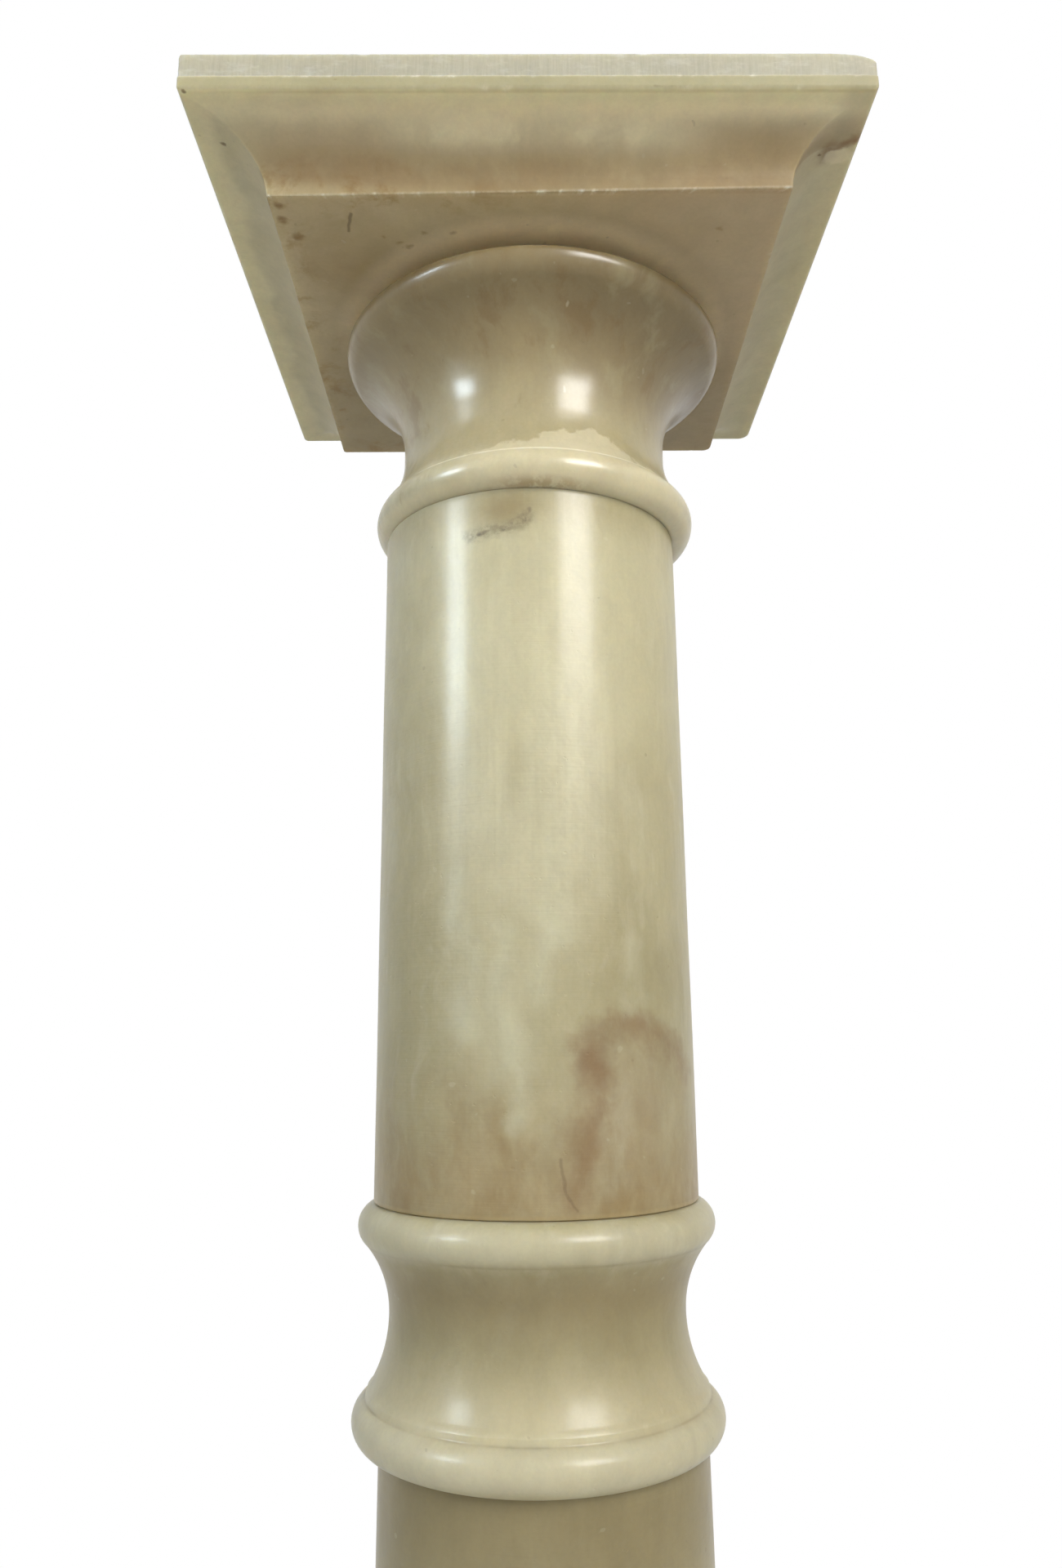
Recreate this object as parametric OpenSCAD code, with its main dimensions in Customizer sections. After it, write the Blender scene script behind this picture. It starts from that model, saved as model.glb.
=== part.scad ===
// Onyx marble pedestal column: a square moulded top on a turned capital, two round
// shafts with a turned knop between them, a turned base and a square plinth.
// The pieces stand on one another, centred on one upright axis.

/* [Top slab] */
// Width and depth of the square top slab
slab_w = 300; // [250:1:400]
// Height of the slab's upright edge
slab_edge_h = 18; // [10:0.5:40]
// Radius of the cove under the slab's edge
slab_cove_r = 25; // [12:0.5:35]
// Flat strip between the slab's edge and its cove
slab_strip_w = 7; // [2:0.5:15]
// Plan rounding of the worn front right corner
corner_front_right = 8; // [1:0.5:20]
// Plan rounding of the worn back right corner
corner_back_right = 6; // [1:0.5:20]
// Plan rounding of the back left corner
corner_back_left = 2; // [1:0.5:20]
// Plan rounding of the front left corner
corner_front_left = 1; // [1:0.5:20]

/* [Capital] */
// Height of the whole capital
capital_h = 121; // [105:1:180]
// Bare strip of the slab's soffit left around the capital's lip
lip_margin = 18; // [8:0.5:30]
// Radius of the rounding on the capital's lip
lip_round = 8; // [4:0.5:12]
// Height of the plain ring between the lip and the slab
annulet_h = 4.5; // [2:0.5:12]
// How far the neck lies inside the head of the shaft
neck_in = 4.9; // [1:0.1:9]
// Height of the neck's narrowest point above the capital's foot
neck_low_h = 46; // [40:1:60]
// Height of the straight stretch of the neck
neck_straight_h = 6.5; // [1:0.5:20]
// Radius of the hollow between the neck and its bead
neck_hollow_r = 46; // [40:1:60]
// How far the capital's bead stands out from the shaft
capital_bead_out = 8.7; // [5:0.1:14]

/* [Shafts] */
// Height of the upper shaft
upper_shaft_h = 321; // [200:1:500]
// Height of the lower shaft
lower_shaft_h = 321; // [200:1:500]
// Radius at the head of the upper shaft
upper_head_r = 73.3; // [60:0.1:90]
// Radius at the foot of the upper shaft
upper_foot_r = 75.1; // [60:0.1:92]
// Radius at the head of the lower shaft
lower_head_r = 73.5; // [60:0.1:90]
// Radius at the foot of the lower shaft
lower_foot_r = 75.2; // [60:0.1:92]

/* [Knop] */
// Radius of the rounding on every bead
bead_round = 10; // [8:0.5:12]
// How far the knop's upper bead stands out from the shaft on it
knop_top_bead_out = 6.9; // [5:0.1:14]
// How far the knop's lower bead stands out from the shaft under it
knop_foot_bead_out = 9.8; // [5:0.1:14]
// Height of the whole knop
knop_h = 101.5; // [98:0.5:120]
// How far the knop's waist lies inside the foot of the upper shaft
waist_in = 7.7; // [4:0.1:12]
// Height of the waist above the knop's foot
waist_h = 53.5; // [50:0.5:60]
// Radius of the hollow above the waist
waist_upper_r = 47; // [44:1:55]
// Radius of the hollow below the waist
waist_lower_r = 60; // [50:1:80]
// Height of the small fillet over the lower bead
fillet_h = 3.2; // [1:0.1:6]
// How far the fillet lies inside the lower bead's edge
fillet_in = 5.7; // [4:0.1:8]

/* [Base] */
// Height of the turned base
base_h = 80; // [70:1:120]
// How far the base's bead stands out from the shaft on it
base_bead_out = 6.8; // [5:0.1:14]
// How far the base's waist lies inside its bead
base_waist_in = 11; // [6:0.5:18]
// Radius of the rounding on the base's foot ring
foot_ring_round = 14; // [8:0.5:18]
// Bare strip of the plinth's top left around the foot ring
foot_margin = 12; // [5:0.5:30]

/* [Plinth] */
// Width and depth of the square plinth
plinth_w = 300; // [260:1:400]
// Height of the plinth's upright edge
plinth_edge_h = 32.5; // [15:0.5:80]
// Radius of the cove over the plinth's edge
plinth_cove_r = 25; // [12:0.5:35]
// Flat strip between the plinth's edge and its cove
plinth_strip_w = 7; // [2:0.5:15]
// Plan rounding of the plinth's corners
plinth_corner = 2; // [1:0.5:20]

/* [Hidden] */
$fn = 128;
arc_steps = 16;
over = 1; // how far a cutter runs past what it cuts

slab_h = slab_edge_h + slab_cove_r;
plinth_h = plinth_edge_h + plinth_cove_r;

// Heights of the joints, from the floor up
base_z = plinth_h;
lower_shaft_z = base_z + base_h;
knop_z = lower_shaft_z + lower_shaft_h;
upper_shaft_z = knop_z + knop_h;
capital_z = upper_shaft_z + upper_shaft_h;
abacus_z = capital_z + capital_h;

// Points along an arc, from one angle to another
function arc(centre, radius, from, to) =
    [for (i = [0:arc_steps])
        let (a = from + (to - from) * i / arc_steps)
        [centre.x + radius * cos(a), centre.y + radius * sin(a)]];

// Direction of a point seen from a centre, from 0 to 360 degrees
function bearing(centre, point) =
    let (a = atan2(point.y - centre.y, point.x - centre.x))
    a < 0 ? a + 360 : a;

// Where a small circle crosses a larger one, on the side that side = 1 or -1 picks
function crossing(c1, r1, c2, r2, side) =
    let (d = norm(c2 - c1),
         along = (d * d + r1 * r1 - r2 * r2) / (2 * d),
         across = sqrt(max(0, r1 * r1 - along * along)),
         dir = (c2 - c1) / d)
    c1 + along * dir + side * across * [-dir.y, dir.x];

// A square plan whose four corners have radii of their own
module worn_square(width, front_left, front_right, back_right, back_left) {
    half = width / 2;
    intersection() {
        corner_quadrant(half, front_left, -1, -1);
        corner_quadrant(half, front_right, 1, -1);
        corner_quadrant(half, back_right, 1, 1);
        corner_quadrant(half, back_left, -1, 1);
    }
}

// The same square with only the corner towards sx, sy rounded
module corner_quadrant(half, radius, sx, sy) {
    union() {
        translate([sx * (half - radius), sy * (half - radius)]) circle(radius);
        translate([-half + (sx < 0 ? radius : 0), -half])
            square([2 * half - radius, 2 * half]);
        translate([-half, -half + (sy < 0 ? radius : 0)])
            square([2 * half, 2 * half - radius]);
    }
}

// Section of a slab that stands on its narrow side: a cove below, an edge above
module coved_section(width, edge_h, cove_r, strip_w) {
    half = width / 2;
    difference() {
        translate([-half, 0]) square([width, edge_h + cove_r]);
        for (side = [-1, 1]) {
            translate([side * (half - strip_w), 0]) circle(cove_r);
            translate([side * (half - strip_w / 2 + over / 2), (cove_r - over) / 2])
                square([strip_w + over, cove_r + over], center = true);
        }
    }
}

// The section run along both pairs of sides, mitred at the corners
module coved_slab(width, edge_h, cove_r, strip_w) {
    intersection() {
        rotate([90, 0, 0])
            linear_extrude(height = width, center = true)
                coved_section(width, edge_h, cove_r, strip_w);
        rotate([90, 0, 90])
            linear_extrude(height = width, center = true)
                coved_section(width, edge_h, cove_r, strip_w);
    }
}

module turned(outline, height) {
    rotate_extrude() polygon(concat([[0, 0]], outline, [[0, height]]));
}

module abacus() {
    color("palegoldenrod")
    translate([0, 0, abacus_z])
    intersection() {
        coved_slab(slab_w, slab_edge_h, slab_cove_r, slab_strip_w);
        linear_extrude(height = slab_h)
            worn_square(slab_w, corner_front_left, corner_front_right,
                        corner_back_right, corner_back_left);
    }
}

module capital() {
    neck_r = upper_head_r - neck_in;
    lip_r = slab_w / 2 - slab_strip_w - slab_cove_r - lip_margin;
    bead = [upper_head_r + capital_bead_out - bead_round, bead_round];
    hollow = [neck_r + neck_hollow_r, neck_low_h];
    lip = [lip_r - lip_round, capital_h - annulet_h - lip_round];
    crease = crossing(bead, bead_round, hollow, neck_hollow_r, 1);

    // The bell's hollow starts upright on the neck and runs smoothly into the lip
    bell_z = neck_low_h + neck_straight_h;
    dx = neck_r - lip.x;
    dz = bell_z - lip.y;
    bell_r = (dx * dx + dz * dz - lip_round * lip_round) / (2 * (lip_round - dx));
    bell = [neck_r + bell_r, bell_z];
    turn = bearing(bell, lip);

    color("wheat")
    translate([0, 0, capital_z])
    turned(concat(
        arc(bead, bead_round, -90, bearing(bead, crease)),
        arc(hollow, neck_hollow_r, bearing(hollow, crease), 180),
        arc(bell, bell_r, 180, turn),
        arc(lip, lip_round, turn - 180, 90),
        [[lip.x, capital_h]]), capital_h);
}

module shaft(foot_r, head_r, height) {
    cylinder(r1 = foot_r, r2 = head_r, h = height);
}

module upper_shaft() {
    color("beige")
    translate([0, 0, upper_shaft_z])
    shaft(upper_foot_r, upper_head_r, upper_shaft_h);
}

module knop() {
    waist_r = upper_foot_r - waist_in;
    top_bead = [upper_foot_r + knop_top_bead_out - bead_round, knop_h - bead_round];
    foot_bead = [lower_head_r + knop_foot_bead_out - bead_round, bead_round];
    above = [waist_r + waist_upper_r, waist_h];
    below = [waist_r + waist_lower_r, waist_h];
    crease = crossing(top_bead, bead_round, above, waist_upper_r, -1);

    // The fillet is a narrow upright band between the foot bead and the hollow
    fillet_r = foot_bead.x + bead_round - fillet_in;
    fillet_turn = acos((bead_round - fillet_in) / bead_round);
    fillet_top = foot_bead.y + bead_round * sin(fillet_turn) + fillet_h;
    hollow_turn = asin((waist_h - fillet_top) / waist_lower_r);

    color("palegoldenrod")
    translate([0, 0, knop_z])
    turned(concat(
        arc(foot_bead, bead_round, -90, fillet_turn),
        [[fillet_r, fillet_top]],
        arc(below, waist_lower_r, 180 + hollow_turn, 180),
        arc(above, waist_upper_r, 180, bearing(above, crease)),
        arc(top_bead, bead_round, bearing(top_bead, crease) - 360, 90)), knop_h);
}

module lower_shaft() {
    color("beige")
    translate([0, 0, lower_shaft_z])
    shaft(lower_foot_r, lower_head_r, lower_shaft_h);
}

module base_moulding() {
    ring_r = plinth_w / 2 - plinth_strip_w - plinth_cove_r - foot_margin;
    bead_r = lower_foot_r + base_bead_out;
    bead = [bead_r - bead_round, base_h - bead_round];
    ring = [ring_r - foot_ring_round, foot_ring_round];

    // A hollow of one radius joins the top of the foot ring to the bead's underside
    waist_r = bead_r - base_waist_in;
    rise = bead.y - bead_round - 2 * foot_ring_round;
    spread = ring.x - waist_r;
    hollow_r = (rise * rise + spread * spread) / (2 * spread);
    hollow_turn = asin(rise / hollow_r);

    color("wheat")
    translate([0, 0, base_z])
    turned(concat(
        arc(ring, foot_ring_round, -90, 90),
        arc([waist_r + hollow_r, bead.y - bead_round], hollow_r, 180 + hollow_turn, 180),
        arc(bead, bead_round, -90, 90)), base_h);
}

module plinth() {
    color("palegoldenrod")
    intersection() {
        translate([0, 0, plinth_h]) mirror([0, 0, 1])
            coved_slab(plinth_w, plinth_edge_h, plinth_cove_r, plinth_strip_w);
        linear_extrude(height = plinth_h)
            worn_square(plinth_w, plinth_corner, plinth_corner, plinth_corner, plinth_corner);
    }
}

abacus();
capital();
upper_shaft();
knop();
lower_shaft();
base_moulding();
plinth();
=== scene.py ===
import math

import bpy
import numpy as np
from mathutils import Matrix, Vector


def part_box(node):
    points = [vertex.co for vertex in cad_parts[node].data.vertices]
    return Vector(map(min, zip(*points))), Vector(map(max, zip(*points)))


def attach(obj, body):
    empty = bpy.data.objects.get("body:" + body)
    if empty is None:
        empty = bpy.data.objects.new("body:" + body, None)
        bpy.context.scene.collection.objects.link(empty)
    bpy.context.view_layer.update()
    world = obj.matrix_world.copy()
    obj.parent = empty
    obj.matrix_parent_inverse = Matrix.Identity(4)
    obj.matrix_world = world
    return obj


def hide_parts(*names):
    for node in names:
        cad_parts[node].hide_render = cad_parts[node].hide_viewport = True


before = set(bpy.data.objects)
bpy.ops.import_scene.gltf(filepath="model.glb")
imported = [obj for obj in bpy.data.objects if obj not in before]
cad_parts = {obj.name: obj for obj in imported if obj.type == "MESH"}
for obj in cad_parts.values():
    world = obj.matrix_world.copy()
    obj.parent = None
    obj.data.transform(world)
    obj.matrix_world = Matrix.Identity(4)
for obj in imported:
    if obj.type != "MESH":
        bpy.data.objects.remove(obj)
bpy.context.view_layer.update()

# Onyx marble pedestal column. The CAD frame gives every place and size; this script builds the
# polished stone over it: seven pieces, their worn edges, their veins and the studio round them.

mm = 0.001
leastGap = 0.02  # mm between two points of an outline
sharpAngle = 48  # degrees past which an edge is shaded sharp
print("frame loaded")


def arcPoints(centre, radius, start, end, step=1.2, rise=None):
    # a round stretch of an outline: centre plus (radius cos a, rise sin a), a in even steps
    count = max(4, int(abs(math.radians(end - start)) * radius / step) + 1)
    angle = np.radians(np.linspace(start, end, count))
    rise = rise or radius
    return np.column_stack([centre[0] + radius * np.cos(angle), centre[1] + rise * np.sin(angle)])


# a bead sits on its joint with a flat, not a line
flatBead = {"angle": 82, "rise": 1 / math.sin(math.radians(82))}


def lowerBead(bead, b):
    # the lower half of a bead, an ellipse cut flat at the joint below it
    return arcPoints(bead, b, -flatBead["angle"], 0, 0.9, b * flatBead["rise"])


def linePoints(start, end, step=2.0):
    # a straight stretch: start plus t times (end minus start), t in even steps
    count = max(2, int(math.dist(start, end) / step) + 2)
    share = np.linspace(0, 1, count)[:, None]
    return np.array(start) + share * (np.array(end) - np.array(start))


def joinOutline(parts):
    # the stretches end to end, with points that fall on the one before left out
    points = np.vstack(parts)
    gap = np.hypot(*np.diff(points, axis=0).T)
    return points[np.concatenate([[True], gap > leastGap])]


def onCircle(centre, radius, bearing):
    # the point at a bearing on a circle
    return (centre[0] + radius * math.cos(math.radians(bearing)),
            centre[1] + radius * math.sin(math.radians(bearing)))


def bearingTo(centre, point):
    # the bearing of a point from a circle's centre, 0 to 360 degrees
    return math.degrees(math.atan2(point[1] - centre[1], point[0] - centre[0])) % 360


def crossAngle(c1, r1, c2, r2, side):
    # the bearing, from c1, of the point where circle 1 meets circle 2
    gap = math.dist(c1, c2)
    base = math.atan2(c2[1] - c1[1], c2[0] - c1[0])
    return math.degrees(base + side * math.acos((gap * gap + r1 * r1 - r2 * r2) / (2 * gap * r1)))


def slowWaves(turn, rise, seed, size, count=14, fastest=9):
    # a sum of waves cos(k t + m z + phase), k whole so that it closes, each smaller as it quickens
    rng = np.random.default_rng(seed)
    k = rng.integers(1, fastest, count)
    m = rng.uniform(-0.06, 0.06, count)
    phase = rng.uniform(0, 2 * np.pi, count)
    swing = rng.uniform(0.4, 1.0, count) / np.sqrt(k)
    angle = turn[:, None, None] * k + rise[None, :, None] * m + phase
    return size * (np.cos(angle) * swing).sum(2) / swing.sum()


def chipDepth(place, length, seed, count, wide, deep):
    # the deepest of many small hollows along a closed edge: depth times (1 - (distance / half) squared)
    rng = np.random.default_rng(seed)
    at = rng.uniform(0, length, count)
    half = rng.uniform(wide[0], wide[1], count) / 2
    depth = deep[0] + (deep[1] - deep[0]) * rng.power(0.35, count)
    gap = np.abs((place[:, None] - at + length / 2) % length - length / 2)
    return (depth * np.clip(1 - (gap / half) ** 2, 0, None)).max(1)


def closeTo(outline, point, reach):
    # 1 on an edge of the outline, falling as exp(-(distance / reach) squared)
    gap = np.hypot(outline[:, 0] - point[0], outline[:, 1] - point[1])
    return np.exp(-(gap / reach) ** 2)


def squareGrid(halfWidths, radii, perSide, perCorner):
    # each row is a square of its own half width whose corners are arcs of their own radii:
    # corner centre plus radius times (cos a, sin a), and straight sides shared out evenly between
    signs = np.array([[1, -1], [1, 1], [-1, 1], [-1, -1]])
    starts = np.radians([-90, 0, 90, 180])
    arcs = []
    for k in range(4):
        angle = starts[k] + np.linspace(0, np.pi / 2, perCorner)
        r = np.minimum(radii[:, k], halfWidths)[None, :]
        cx = signs[k, 0] * (halfWidths[None, :] - r)
        cy = signs[k, 1] * (halfWidths[None, :] - r)
        arcs.append(np.stack([cx + r * np.cos(angle)[:, None], cy + r * np.sin(angle)[:, None]], 2))
    share = (np.arange(1, perSide + 1) / (perSide + 1))[:, None, None]
    parts = []
    for k in range(4):
        before = arcs[k - 1][-1][None]
        after = arcs[k][0][None]
        parts += [before + share * (after - before), arcs[k]]
    return np.concatenate(parts)


def meshFromGrid(name, points, marks):
    # a closed skin on a grid: quads between neighbours, closed round, with a fan at each end's pole
    around, rows = points.shape[:2]
    ring = points[:, 1:-1]
    inner = rows - 2
    ends = np.stack([points[:, 0].mean(0), points[:, -1].mean(0)])
    verts = np.vstack([ring.reshape(-1, 3), ends])
    here = np.arange(around)[:, None]
    after = (here + 1) % around
    row = np.arange(inner - 1)[None, :]
    corner = [here * inner + row, after * inner + row, after * inner + row + 1, here * inner + row + 1]
    quads = np.stack([np.broadcast_to(c, (around, inner - 1)) for c in corner], 2).reshape(-1, 4)
    foot = around * inner
    here, after = here[:, 0], after[:, 0]
    lower = np.stack([np.full(around, foot), after * inner, here * inner], 1)
    top = inner - 1
    upper = np.stack([here * inner + top, after * inner + top, np.full(around, foot + 1)], 1)
    mesh = bpy.data.meshes.new(name)
    mesh.from_pydata((verts * mm).tolist(), [], quads.tolist() + lower.tolist() + upper.tolist())
    for key, value in marks.items():
        flat = np.concatenate([value[:, 1:-1].ravel(), [value[:, 0].mean(), value[:, -1].mean()]])
        layer = mesh.attributes.new(key, "FLOAT", "POINT")
        layer.data.foreach_set("value", flat.astype(np.float32))
    mesh.shade_smooth()
    mesh.set_sharp_from_angle(angle=math.radians(sharpAngle))
    mesh.validate()
    piece = bpy.data.objects.new(name, mesh)
    bpy.context.scene.collection.objects.link(piece)
    return piece


def standIn(piece, node, material):
    # the piece takes the place of its CAD solid, and rides on the column's one body
    piece.data.materials.append(material)
    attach(piece, "root")
    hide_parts(node)
    print(piece.name, "made,", len(piece.data.polygons), "faces")


def floorOf(node):
    # a CAD solid's lowest level, in mm
    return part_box(node)[0].z / mm


def heightOf(node):
    # how tall a CAD solid is, in mm
    low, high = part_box(node)
    return (high.z - low.z) / mm


def addNode(tree, kind, inputs=None, **settings):
    # one shader node; an input that is a socket is linked, any other is set
    node = tree.nodes.new(kind)
    for key, value in settings.items():
        setattr(node, key, value)
    for key, value in (inputs or {}).items():
        if isinstance(value, bpy.types.NodeSocket):
            tree.links.new(value, node.inputs[key])
        else:
            node.inputs[key].default_value = value
    return node


def linked(kind, inputs, **settings):
    # a node in the same tree as the sockets that feed it
    tree = next(v.id_data for v in inputs.values() if isinstance(v, bpy.types.NodeSocket))
    return addNode(tree, kind, inputs, **settings)


def calc(operation, a, b=0, clamp=False):
    node = linked("ShaderNodeMath", {0: a, 1: b}, operation=operation, use_clamp=clamp)
    return node.outputs[0]


def times(a, b):
    return calc("MULTIPLY", a, b)


def most(a, b):
    return calc("MAXIMUM", a, b)


def awayFrom(value, middle):
    # how far a value is from the middle, either way
    return calc("ABSOLUTE", calc("SUBTRACT", value, middle))


def vector(operation, a, b=(0, 0, 0)):
    node = linked("ShaderNodeVectorMath", {0: a, 1: b}, operation=operation)
    return node.outputs["Value"] if operation in ("LENGTH", "DOT_PRODUCT") else node.outputs[0]


def axes(place):
    # the three coordinates of a place
    return linked("ShaderNodeSeparateXYZ", {0: place}).outputs[:3]


def mark(tree, name):
    # a value that the mesh carries at its points, such as how worn it is
    return addNode(tree, "ShaderNodeAttribute", attribute_name=name).outputs["Fac"]


def fade(value, low, high, start=0, end=1, way="SMOOTHSTEP"):
    # start where the value is low, end where it is high, and eased in between
    inputs = {"Value": value, "From Min": low, "From Max": high, "To Min": start, "To Max": end}
    return linked("ShaderNodeMapRange", inputs, interpolation_type=way).outputs[0]


def cloud(place, scale, detail=4, rough=0.55, shift=(0, 0, 0)):
    # a cloud of noise; a scale for each axis draws it out, and the shift takes it from another place
    if isinstance(scale, tuple):
        place, scale = vector("MULTIPLY", vector("ADD", place, shift), scale), 1
    inputs = {"Vector": place, "Scale": scale, "Detail": detail, "Roughness": rough}
    return linked("ShaderNodeTexNoise", inputs).outputs[0]


def sway(place, scale, detail=4, rough=0.55):
    # a cloud that goes as far under nought as over it
    return calc("SUBTRACT", cloud(place, scale, detail, rough), 0.5)


def wander(place, scale, detail, reach, rough=0.5):
    # the place pushed about by a cloud of its own for each axis, so that marks get ragged edges
    inputs = {"Vector": place, "Scale": scale, "Detail": detail, "Roughness": rough}
    push = linked("ShaderNodeTexNoise", inputs).outputs["Color"]
    push = vector("SUBTRACT", push, (0.5, 0.5, 0.5))
    return vector("ADD", place, vector("MULTIPLY", push, (reach, reach, reach)))


def paint(factor, under, over, blend="MIX"):
    # one colour over another; a colour is a socket, or red, green and blue
    under, over = [c if isinstance(c, bpy.types.NodeSocket) else (*c, 1) for c in (under, over)]
    node = linked("ShaderNodeMix", {0: factor, 6: under, 7: over}, data_type="RGBA", blend_type=blend)
    return node.outputs[2]


def wash(color, mask, tint):
    # a tint is a share and a colour: it covers as much as the mask times its share
    share, over = tint
    return paint(times(mask, share), color, over)


def blot(place, centre, size, soft=0.2):
    # 1 inside an ellipsoid, fading to 0 at its skin
    away = vector("SUBTRACT", place, centre)
    share = vector("LENGTH", vector("DIVIDE", away, size))
    return fade(share, soft, 1, 1, 0)


def spatter(color, place, spots):
    # the same small round stain at each place of a list
    for centre in spots["at"]:
        color = wash(color, blot(place, centre, spots["size"], spots["soft"]), spots["tint"])
    return color


def stroke(place, start, end, width, core=0.25):
    # 1 along a line from start to end, fading to 0 at its width
    run = tuple(b - a for a, b in zip(start, end))
    square = sum(v * v for v in run)
    away = vector("SUBTRACT", place, start)
    along = calc("DIVIDE", vector("DOT_PRODUCT", away, run), square, clamp=True)
    scaled = linked("ShaderNodeVectorMath", {0: run, "Scale": along}, operation="SCALE").outputs[0]
    gap = vector("LENGTH", vector("SUBTRACT", away, scaled))
    return fade(gap, width * core, width, 1, 0)


def strokes(place, points, width, core=0.25):
    # one line through all the points
    total = None
    for start, end in zip(points[:-1], points[1:]):
        one = stroke(place, start, end, width, core)
        total = one if total is None else most(total, one)
    return total


onyxLook = {
    "seed": 1.7,
    "stone": (0.495, 0.445, 0.272), "pale": (0.615, 0.578, 0.405),
    "olive": (0.385, 0.332, 0.185), "oliveShare": 0.65,
    "wisp": (0.72, 0.70, 0.535), "wispShare": 0.38,
    "threadShare": 0.13, "speckShare": 0.14, "darkSpeckShare": 0.2,
    "bruise": (0.86, 0.83, 0.70), "dirt": (0.20, 0.155, 0.085), "dirtShare": 0.8,
    "bump": 0.35, "bumpHeight": 0.0003, "ripple": 1.6, "tooling": (3, 3, 900), "toolingDepth": 0.25,
    # how close each kind of cloud is, across and upright, per metre
    "slowClouds": (9, 9, 4), "deepClouds": (16, 16, 7), "wisps": (75, 75, 13), "threads": (330, 330, 16),
    "mist": (70, 70, 34), "smears": (30, 30, 9), "grain": 520,
    # the polish, and the light that sinks into the stone
    "rough": 0.42, "ior": 1.45, "specular": 0.14, "coat": 0.26, "coatRough": 0.21,
    "glow": 0.5, "glowRadius": (1, 0.75, 0.4), "glowReach": 0.016}
fixedSockets = {
    "IOR": "ior", "Specular IOR Level": "specular", "Coat Weight": "coat", "Coat Roughness": "coatRough",
    "Coat IOR": "ior", "Subsurface Weight": "glow", "Subsurface Radius": "glowRadius",
    "Subsurface Scale": "glowReach"}


def stone(name, changes, dress):
    # onyx: slow clouds of pale and olive stone, upright wisps, fine grain, pale specks and a polish
    # that is duller where the stone is worn. changes are to the onyx's look, for one piece, and
    # dress adds the piece's own veins and stains, and its painted light and painted shade, on four
    # readings of a place: as it is, bent by slow clouds, and made ragged by small ones, more and less
    look = {**onyxLook, **changes}
    material = bpy.data.materials.new(name)
    material.use_nodes = True
    tree = material.node_tree
    tree.nodes.clear()
    place = addNode(tree, "ShaderNodeTexCoord").outputs["Object"]
    seed = look["seed"]
    bent = wander(place, 22, 3, 0.03)
    slow = cloud(bent, look["slowClouds"], 3, shift=(seed, 0, 0))
    deep = cloud(bent, look["deepClouds"], 4, shift=(0, seed, 0))
    wisp = cloud(bent, look["wisps"], 5, 0.6, shift=(0, 0, seed))
    grain = cloud(place, look["grain"], 3, 0.7)
    color = paint(fade(slow, 0.36, 0.66), look["stone"], look["pale"])
    color = wash(color, fade(deep, 0.5, 0.72), (look["oliveShare"], look["olive"]))
    color = wash(color, fade(wisp, 0.5, 0.76), (look["wispShare"], look["wisp"]))
    thread = cloud(place, look["threads"], 3, 0.6, shift=(seed, seed, 0))
    color = paint(fade(thread, 0.35, 0.7, 0, look["threadShare"]), color, look["olive"])
    worn = mark(tree, "worn")
    dirt = mark(tree, "dirt")
    near = wander(place, 170, 4, 0.006)
    thin = wander(place, 170, 4, 0.0022)
    color = dress(color, place, bent, near, thin)
    speck = cloud(place, 190, 1, 0.4)
    color = paint(fade(speck, 0.765, 0.80, 0, look["speckShare"]), color, look["wisp"])
    darkSpeck = cloud(vector("ADD", place, (3, 7, 1)), 230, 1, 0.4)
    color = paint(fade(darkSpeck, 0.78, 0.81, 0, look["darkSpeckShare"]), color, look["dirt"])
    mist = cloud(bent, look["mist"], 5, 0.62, shift=(seed, 4, 0))
    shade = times(fade(grain, 0.3, 0.7, 0.978, 1.022), fade(mist, 0.3, 0.7, 0.955, 1.045))
    shadeColor = linked("ShaderNodeCombineColor", {0: shade, 1: shade, 2: shade}).outputs[0]
    color = paint(1, color, shadeColor, "MULTIPLY")
    # dirt gathers in patches along the creases, and the bruised edges are pale
    grime = fade(cloud(vector("ADD", place, (1, 0, 5)), 60, 4), 0.38, 0.62)
    dirtShare = times(dirt, calc("MULTIPLY_ADD", grime, 0.6))
    color = paint(calc("MINIMUM", times(dirtShare, look["dirtShare"]), 0.9), color, look["dirt"])
    bruised = times(worn, fade(grain, 0.3, 0.62, 0.35, 1))
    color = paint(bruised, color, look["bruise"])

    smear = cloud(place, look["smears"], 4, 0.6, shift=(seed, 2, 0))
    polish = fade(smear, 0.3, 0.7, look["rough"] - 0.05, look["rough"] + 0.07)
    rough = calc("ADD", polish, times(worn, 0.4))
    rough = calc("ADD", rough, times(dirt, 0.2))
    rough = calc("ADD", rough, fade(grain, 0.4, 0.75, 0, 0.04), clamp=True)

    tooling = cloud(place, look["tooling"], 3, 0.65, shift=(0, 0, seed))
    pits = fade(cloud(place, 260, 2, 0.5), 0.70, 0.76, 0, -0.6)
    ripple = cloud(place, 130, 2, 0.5)
    high = calc("ADD", times(tooling, look["toolingDepth"]), pits)
    high = calc("ADD", high, times(ripple, look["ripple"]))
    high = calc("ADD", high, times(grain, calc("ADD", times(worn, 2.5), 0.05)))
    bump = linked("ShaderNodeBump", {"Height": high, "Strength": look["bump"],
                                     "Distance": look["bumpHeight"]})

    shader = linked("ShaderNodeBsdfPrincipled", {"Base Color": color, "Roughness": rough,
                                                 "Normal": bump.outputs[0]})
    for socket, key in fixedSockets.items():
        shader.inputs[socket].default_value = look[key]
    out = linked("ShaderNodeOutputMaterial", {"Surface": shader.outputs[0]})
    out.is_active_output = True
    return material


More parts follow.
